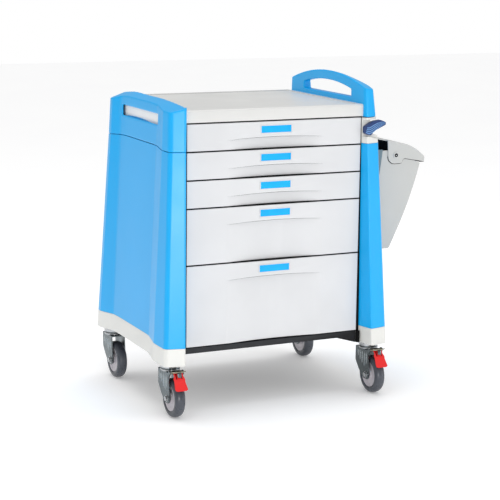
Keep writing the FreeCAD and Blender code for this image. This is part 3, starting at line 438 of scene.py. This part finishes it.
PLATE_REACH = 20.5         # half width of the brake plate
PAD_DEEP = (0.83, 0.56)    # direction in which the pad's thickness is laid off, as (y, z)


def pad_spot(part):
    """Point on the pad's middle line, from its top at 0 to its lip at 1, as (y, z)."""
    return -54.2 - 28 * part, 132 - 41.5 * part


def swelling(part, centre, spread):
    """Bump of height 1 round a centre."""
    return math.exp(-((part - centre) / spread) ** 2)


def pedal_brake(name, pivot):
    """Bent brake plate with its tab, and the red pad whose two shoulders flare to a lower lip."""
    body = name + "_brake"
    rings = []
    for step in range(17):
        x = -PLATE_REACH + 2 * PLATE_REACH * step / 16
        bow = (x / PLATE_REACH) ** 4
        front = -64.5 + 3.2 * bow
        line = [(-48.6, 132), (-54, 132.6), (front + 3, 133.4), (front + 0.6, 134.4), (front, 136)]
        top = [(y - 0.2, z + 2.2) for y, z in line]
        rings.append([(x, y, z + 0.8 * bow) for y, z in line + top[::-1]])
    plate = rings_mesh(name + "_plate", rings, pivot)
    barrel = turned_mesh(name + "_barrel", [(-17.4, 2.6), (-17.4, 3.8), (-17, 4.2), (17, 4.2),
                                            (17.4, 3.8), (17.4, 2.6)],
                         pivot + Vector((0, -0.042, 0.131)), steps=40)
    knee = bar_mesh(name + "_knee", (-17.2, -49.8, 131.6), (17.2, -44, 133.6), pivot, 0.5)
    piece(name + "_plate", softened(joined(name + "_plates", [plate, barrel, knee]), 0.3, 2, 50),
          body, "fork_steel", KHAKI, (name + "_brake_lever",), 40)
    tab = []
    for y, z, half in ((-61, 136.2, 5.8), (-65.4, 135.6, 5.8), (-66.8, 133, 5.7), (-67.2, 126, 5.6),
                       (-67.6, 122.6, 5), (-67.6, 121.8, 4.2)):
        tab.append([(x, y + lift, z + lift * 0.4) for x, lift in
                    ((-half, 0), (half, 0), (half, 2.2), (-half, 2.2))])
    piece(name + "_tab", softened(rings_mesh(name + "_tab", tab, pivot), 0.5, 2, 40), body,
          "fork_steel", FORK)
    rings = []
    steps = 30
    for step in range(steps + 1):
        part = step / steps
        y, z = pad_spot(part)
        shoulder = 1.8 * swelling(part, 0.4, 0.1)
        lip = 2.0 * max(0, part - 0.82) / 0.18
        half = 14.2 + 5.2 * part ** 1.5 + 1.5 * swelling(part, 0.36, 0.07)
        half -= 1.2 * swelling(part, 0.18, 0.08)
        corner = max(0, part - 0.9) / 0.1
        half -= 4.5 * (1 - math.sqrt(max(0, 1 - corner ** 2)))
        close = min(1, (part + 0.02) / 0.06, (1.03 - part) / 0.06) ** 0.5
        thick = (3.0 + 0.5 * shoulder) * close
        ring = []
        for across, through in oval(half, thick, 5, 40):
            dent = 1.2 * math.exp(-(across / 8.5) ** 8) if through < 0 and part < 0.3 else 0
            out = through - (shoulder * 0.7 + lip if through < 0 else lip) + dent
            ring.append((across, y + out * PAD_DEEP[0], z + out * PAD_DEEP[1]))
        rings.append(ring)
    piece(name + "_pad", rings_mesh(name + "_pad", rings, pivot), body, "pedal_plastic",
          stands_for=(name + "_pedal",), smooth=50)
    # painted shade: dark bars sunk in the pad's two slots
    slots = []
    for x in (-7.9, 7.9):
        rings = []
        for part in (0.02, 0.14, 0.27, 0.33):
            y, z = pad_spot(part)
            wide = 1.1 if part < 0.3 else 0.5
            rings.append([(x + across, y - out * PAD_DEEP[0], z - out * PAD_DEEP[1])
                          for across, out in ((-wide, 2.4), (wide, 2.4),
                                              (wide, 3.9), (-wide, 3.9))])
        slots.append(rings_mesh(name + "_slot", rings, pivot))
    piece(name + "_pad_slots", joined(name + "_pad_slots", slots), body, "black_steel", PAINTED_SHADE)


for caster in ("front_left", "front_right", "rear_left", "rear_right"):
    label = "caster_" + caster
    turning = Vector(JOINT[label + "_turn"]["pos_m"])
    pivot = Vector((turning.x, turning.y, 0))
    hub = Vector(JOINT[label + "_roll"]["pos_m"])
    wheel(label, label + "_wheel", hub)
    fork_details(label, label + "_swivel", pivot, hub)
    if label + "_brake_press" in JOINT:
        pedal_brake(label, pivot)


# ---------------------------------------------------------------- drawers
DRAWERS = [1, 2, 3, 4, 5]
HALF_GAP = 1.75           # half the gap between two fronts
SCOOP_DROP = 44.5         # from the middle of that gap down to the pull scoop's edge
SCOOP_ARC = 2005          # radius of the edge's slight arch
SCOOP_REACH = 148         # half length of its painted shadow strip
for number in DRAWERS:
    name = f"drawer_{number}"
    low, high = [(corner - CART) * 1000 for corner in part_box(name + "_label")]
    rim, deep = 2.4, 1.7
    rings = []
    for inset, y in ((rim, -0.1), (rim, -deep + 0.5), (rim - 0.5, -deep), (0.6, -deep),
                     (0, -deep + 0.6), (0, 0)):
        away = rim - inset
        left, right, foot, head = low.x - away, high.x + away, low.z - away, high.z + away
        rings.append([(left, y, foot), (right, y, foot), (right, y, head), (left, y, head)])
    rings = rings[::-1]
    piece(name + "_label_frame", rings_mesh(name + "_label_frame", rings, wrap=True), name,
          "drawer_shell", smooth=60)
    # painted shadow: a dark strip along the lip at the top of the pull scoop
    front_top = (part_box(name + "_front")[1].z - CART.z) * 1000
    crest = front_top + HALF_GAP - SCOOP_DROP
    rings = []
    for step in range(61):
        x = -SCOOP_REACH + 2 * SCOOP_REACH * step / 60
        middle = crest - (SCOOP_ARC - math.sqrt(SCOOP_ARC ** 2 - x ** 2))
        thin = 0.15 + 0.75 * (1 - (x / SCOOP_REACH) ** 2)
        rings.append([(x, y, z) for y, z in ((0.2, middle - thin), (0.2, middle + 0.15),
                                             (2.2, middle + 0.15), (2.2, middle - thin))])
    piece(name + "_pull_shadow", rings_mesh(name + "_pull_shadow", rings), name, "black_steel", PAINTED_SHADE)

# painted shadow: black sheets in the gaps between the fronts, and wedges beside them up to the
# leaning columns
SHADE_NEAR, SHADE_FAR = 0.4, 24.5     # how far behind the fronts' faces the painted shadow sheets start and end
lines = []
for number in DRAWERS[1:]:
    upper = (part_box(f"drawer_{number - 1}_front")[0].z - CART.z) * 1000
    lower = (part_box(f"drawer_{number}_front")[1].z - CART.z) * 1000
    lines.append(bar_mesh("gap", (-270.2, SHADE_NEAR, lower + 0.1),
                          (270.2, SHADE_FAR, upper - 0.1), width=0.2))
for side in (-1, 1):
    rings = []
    for z in (184, 738, 812):
        inner, outer = 270.25, 272.2 + 0.0113 * (738 - z)
        rings.append([(side * x, y, z) for x, y in ((inner, SHADE_NEAR), (outer, SHADE_NEAR),
                                                    (outer, SHADE_FAR), (inner, SHADE_FAR))])
    lines.append(rings_mesh("gap", rings))
# on the right, a short wedge of painted shadow in the corner where the gusset meets the skirt
corner = ((269.5, 1.5), (270.5, -2), (276.5, -7.5), (279, -7), (273, 1.5))
lines.append(rings_mesh("gap", [[(x, y, z) for x, y in corner] for z in (150, 185.5)]))
# painted shadow in the gap above the top drawer
lines.append(bar_mesh("gap", (-271, -0.2, 811.6), (271, SHADE_FAR, 814.9), width=0.2))
piece("front_gap_shadows", joined("front_gap_shadows", lines), "trolley", "black_steel", PAINTED_SHADE)

# ---------------------------------------------------------------- left finger slot
def arch_mesh(name, x, thick, front, rear, low, end, middle):
    """Upright plate whose top arches from one height at its ends to another in the middle."""
    rings, steps = [], 40
    for step in range(steps + 1):
        part = step / steps
        top = end + (middle - end) * (1 - (2 * part - 1) ** 2)
        y = front + (rear - front) * part
        rings.append([(x, y, low), (x + thick, y, low), (x + thick, y, top), (x, y, top)])
    return rings_mesh(name, rings)


# painted light: a plate whiter than the worktop close behind the slot, for the flange that shows
# through it
insert = bar_mesh("left_slot_insert", (-302.5, 62, 787), (-299.5, 439.6, 833))
piece("left_slot_insert", insert, "trolley", "white_shell", LIT_INSERT)
web = arch_mesh("left_slot_web", -305.4, 2.2, 140, 417, 787, 794, 804)
piece("left_slot_web", web, "trolley", "blue_shell", smooth=60)

# ---------------------------------------------------------------- waste bin details
# painted shadow: a black sheet across the lid between its ears, which swings down inside the bin's
# rear wall
shade_sheet = bar_mesh("lid_shade_sheet", (399, 66.5, 695), (401.5, 313.5, 730.5), width=0.6)
piece("bin_lid_shade_sheet", shade_sheet, "bin_lid", "black_steel", PAINTED_SHADE)
# painted shadow: a dark strip under the lid's outer lip
lip = bar_mesh("lid_lip", (505, 58.2, 664.2), (517.6, 321.8, 666.6), width=0.6)
piece("bin_lid_lip", lip, "bin_lid", "black_steel", PAINTED_SHADE)
pivot = Vector(JOINT["bin_lid_hinge"]["pos_m"])
pivot.y = CART.y
dishes, heads = [], []
for tag, y, step in (("near", 57, -1), ("far", 323, 1)):
    washer = turned_mesh("washer", [(y, 5.6), (y, 10.2), (y + step * 1.2, 10),
                                    (y + step * 1.8, 9.2), (y + step * 1.8, 6.6),
                                    (y + step * 1.2, 5.6)], pivot, "y", 56)
    piece(f"bin_pivot_washer_{tag}", washer, "bin_lid", "bin_plastic", smooth=40)
    dish = turned_mesh("dish", [(y - step * 3.4, 0.2), (y - step * 3.4, 3.9), (y + step * 0.2, 3.9),
                                (y + step * 0.2, 6), (y + step * 0.8, 6), (y + step * 0.8, 3),
                                (y + step * 0.2, 2.4), (y + step * 0.2, 0.2)], pivot, "y", 40)
    dishes.append(dish)
    heads.append(turned_mesh("head", [(y + step * 0.1, 0.2), (y + step * 0.1, 2.2),
                                      (y + step * 1.0, 2.0), (y + step * 1.4, 1.4),
                                      (y + step * 1.4, 0.2)], pivot, "y", 28))
# painted shade: the dishes round the lid's pivots are black
piece("bin_pivot_dishes", joined("dishes", dishes), "trolley", "black_steel", PAINTED_SHADE, ("bin_screws",))
piece("bin_pivot_heads", joined("heads", heads), "trolley", "zinc_steel", BOLT)

# painted shadow: a dark line round the lid's ear, on the bin's ends
EAR = ((519.5, 664.6), (456, 676.2), (452.6, 676.3), (450, 675.4), (447.8, 673.4),
       (446.5, 670.6), (446, 668.6), (444.4, 666), (441, 663.4), (437.7, 662.8), (419.4, 662.2),
       (412.3, 663), (406, 666), (400.8, 670.6), (397.6, 675.6), (396, 681.6), (395.9, 685))
shadows = []
for y in (59.7, 320.3):
    rings = []
    path = [Vector(spot) for spot in EAR]
    for index, spot in enumerate(path):
        run = path[min(index + 1, len(path) - 1)] - path[max(index - 1, 0)]
        side = Vector((-run.y, run.x)).normalized()
        rings.append([(spot.x + side.x * 1.0 * math.cos(turn), y + 0.6 * math.sin(turn),
                       spot.y + side.y * 1.0 * math.cos(turn))
                      for turn in [math.tau * step / 8 for step in range(8)]])
    shadows.append(rings_mesh("ear_shadow", rings))
piece("bin_ear_shadows", joined("bin_ear_shadows", shadows), "bin_lid", "black_steel", PAINTED_SHADE, smooth=60)

# ---------------------------------------------------------------- lock lever
# the lever's middle line as (x, z, half its width there)
SPINE = ((277.5, 776.5, 9.5), (286, 774, 11.5), (296, 777.5, 11), (306, 784, 10), (317, 789.5, 8.5),
         (328, 793.5, 6), (337, 795, 3.2))
# painted highlight: ribs in a lighter copy of the lever's navy
lines = []
for lane in (-0.72, -0.24, 0.24, 0.72):
    rings = []
    for index, (x, z, half) in enumerate(SPINE):
        last, after = SPINE[max(index - 1, 0)], SPINE[min(index + 1, len(SPINE) - 1)]
        run = Vector((after[0] - last[0], 0, after[1] - last[1])).normalized()
        across = Vector((-run.z, 0, run.x))
        centre = Vector((x, -18.9, z)) + across * half * lane
        wide = half * 0.13
        rings.append([tuple(centre + across * wide * math.cos(turn)
                            + Vector((0, -1.8 * math.sin(turn), 0)))
                      for turn in [math.pi * step / 6 for step in range(7)]])
    lines.append(rings_mesh("rib", rings))
piece("lever_ribs", joined("lever_ribs", lines), "lock_lever", "lever_plastic", RIB_HIGHLIGHT, smooth=60)
cap = turned_mesh("cap", [(-19.2, 0.2), (-19.2, 3.4), (-18.6, 3.6), (-17, 3.6), (-17, 0.2)],
                  at(JOINT["lock_lever_turn"]["pos_m"][0] * 1000 - CART.x * 1000, 0, 775), "y", 32)
piece("lever_pin_cap", cap, "lock_lever", "lever_plastic")

# ---------------------------------------------------------------- fasteners
def dome_mesh(name, base, axis, side, radius=4.5, rise=2.2):
    """Domed screw head that stands out from its base along an axis, to one side."""
    section = [(0, 0.2), (0, radius)] + [
        (side * rise * math.sin(math.radians(turn)), radius * math.cos(math.radians(turn)) + 0.2)
        for turn in (12, 30, 50, 70, 86)]
    return turned_mesh(name, section, base, axis, 28)


screws = []
for x in (-255, 0, 255):
    for z in (205, 500, 795):
        screws.append(dome_mesh("screw", at(x, 469, z), "y", 1))
piece("back_screws", joined("back_screws", screws), "trolley", "zinc_steel", BOLT)
bolts = []
for caster in ("front_left", "front_right", "rear_left", "rear_right"):
    centre = Vector(JOINT[f"caster_{caster}_turn"]["pos_m"])
    for x in (-0.017, 0.017):
        for y in (-0.013, 0.013):
            spot = Vector((centre.x + x, centre.y + y, 0.150))
            bolts.append(dome_mesh("bolt", spot, "z", -1, 3.6, 2.4))
piece("caster_bolts", joined("caster_bolts", bolts), "trolley", "zinc_steel", BOLT)

# ---------------------------------------------------------------- all else keeps its CAD shape
CROWN_LIFT = 0.0055     # metres


def eased(value, start, run):
    """0 before the start, 1 after the run, and a smooth step between."""
    part = min(1, max(0, (value - start) / run))
    return part * part * (3 - 2 * part)


def raise_crown(mesh):
    """Keep a cap's crown high towards the rear, so that it turns down late."""
    for vertex in mesh.vertices:
        spot = (vertex.co - CART) * 1000
        vertex.co.z += CROWN_LIFT * eased(spot.y, 250, 130) * eased(spot.z, 838, 28)


def softly_moulded(node, voxel, passes):
    """Copy of a CAD node with every edge rounded as a moulding's is, standing in for it."""
    rough = bpy.data.objects.new(node + "_rough", nodes[node].data.copy())
    bpy.context.scene.collection.objects.link(rough)
    remesh = rough.modifiers.new("voxels", "REMESH")
    remesh.mode, remesh.voxel_size = "VOXEL", voxel / 1000
    smooth = rough.modifiers.new("smooth", "SMOOTH")
    smooth.factor, smooth.iterations = 0.5, passes
    thin = rough.modifiers.new("thin", "DECIMATE")
    thin.ratio = 0.35
    depsgraph = bpy.context.evaluated_depsgraph_get()
    made = bpy.data.meshes.new_from_object(rough.evaluated_get(depsgraph))
    bpy.data.objects.remove(rough)
    made.name = node + "_fine"
    if node == "handle_cap_left":
        raise_crown(made)
    piece(node + "_fine", made, BODY[node], SLOT[node], None, (node,), 60)


# nodes that are remeshed: (node, voxel in millimetres, smoothing passes)
MOULDED = (("handle_cap_left", 1.5, 16), ("handle_cap_right", 1.5, 16), ("lock_lever", 0.8, 5))
for node, voxel, passes in MOULDED:
    softly_moulded(node, voxel, passes)

# the bin's hanger takes the darker blue-grey of painted shade and reflection
SPECIAL = {"worktop": TOP, "bin_bracket": HANGER_SHADE}
# rounding in millimetres by the end of a node's name; the others get EDGE
EDGE = 0.8
ROUND = (("_fork", 1.4), ("worktop", 1.6), ("bin_body", 1.2))
REMADE = ("_tyre", "_core", "_axle", "_brake_lever", "_pedal")
DONE = {"bin_screws"} | {entry[0] for entry in MOULDED}
for node in nodes:
    if node not in DONE and not (node.startswith("caster_") and node.endswith(REMADE)):
        wide = next((wide for ending, wide in ROUND if node.endswith(ending)), EDGE)
        refined(node, wide, SPECIAL.get(node))

# ---------------------------------------------------------------- floor, light and camera
FLOOR_REACH, FLOOR_GLOW = 12, 0.16
stage = bpy.data.meshes.new("floor")
work = bmesh.new()
bmesh.ops.create_grid(work, x_segments=1, y_segments=1, size=FLOOR_REACH)
work.to_mesh(stage)
work.free()
floor = bpy.data.objects.new("floor", stage)
bpy.context.scene.collection.objects.link(floor)
paper = Shade("paper", (0.97, 0.97, 0.97, 1), 0.9, specular=0.1)
paper.tint(paper.ramp(paper.noise(2, 2), 0, 1), (0.955, 0.955, 0.96, 1))
paper.out.inputs["Emission Color"].default_value = (1, 1, 1, 1)
paper.out.inputs["Emission Strength"].default_value = FLOOR_GLOW
stage.materials.append(paper.mat)

SKY_LEVEL, GLOSSY_LEVEL, CAMERA_LEVEL = 0.84, 0.42, 1.0
world = bpy.data.worlds.new("studio")
bpy.context.scene.world = world
world.use_nodes = True
tree = world.node_tree
sky = tree.nodes["Background"]
sky.inputs["Color"].default_value = (1, 1, 1, 1)
# the surroundings light the trolley at one level, mirror in it dimmer and look white to the camera
glimpse = tree.nodes.new("ShaderNodeLightPath")
strength = None
for ray, level in (("Is Glossy Ray", GLOSSY_LEVEL), ("Is Camera Ray", CAMERA_LEVEL)):
    step = tree.nodes.new("ShaderNodeMath")
    step.operation = "MULTIPLY_ADD"
    tree.links.new(glimpse.outputs[ray], step.inputs[0])
    step.inputs[1].default_value = level - SKY_LEVEL
    if strength:
        tree.links.new(strength, step.inputs[2])
    else:
        step.inputs[2].default_value = SKY_LEVEL
    strength = step.outputs["Value"]
tree.links.new(strength, sky.inputs["Strength"])


def softbox(name, place, target, width, height, power):
    """Rectangular lamp that faces a target; metres from the cart's middle, and watts."""
    data = bpy.data.lights.new(name, "AREA")
    data.shape = "RECTANGLE"
    data.size, data.size_y = width, height
    data.energy = power
    lamp = bpy.data.objects.new(name, data)
    lamp.location = CART + Vector(place)
    lamp.rotation_euler = (Vector(target) - Vector(place)).to_track_quat("-Z", "Y").to_euler()
    bpy.context.scene.collection.objects.link(lamp)


softbox("key", (-0.74, -3.4, 0.45), (0, 0, 0.45), 0.8, 0.8, 29)
softbox("front", (-0.7, -3.5, 1.7), (0, 0, 0.5), 2.0, 2.0, 1)
softbox("fill", (2.75, -2.3, 0.6), (0, 0, 0.5), 0.8, 1.0, 8)
softbox("overhead", (0, 0.6, 3.4), (0, 0.3, 0.5), 2.6, 2.6, 34)

# fitted to the photo: metres from the cart's middle, degrees, and millimetres on a 36 mm sensor
CAMERA_PLACE = (-1.94095, -3.90867, 1.30174)
CAMERA_TURN = (78.8826, -0.6721, -25.3628)
CAMERA_LENS, CAMERA_SENSOR = 113.25, 36
camera_data = bpy.data.cameras.new("camera")
camera_data.sensor_width = CAMERA_SENSOR
camera_data.lens = CAMERA_LENS
camera_data.clip_start, camera_data.clip_end = 0.1, 100
camera = bpy.data.objects.new("camera", camera_data)
bpy.context.scene.collection.objects.link(camera)
camera.location = CART + Vector(CAMERA_PLACE)
camera.rotation_euler = [math.radians(angle) for angle in CAMERA_TURN]
bpy.context.scene.camera = camera
bpy.context.scene.view_settings.view_transform = "Standard"
bpy.context.scene.view_settings.look = "None"
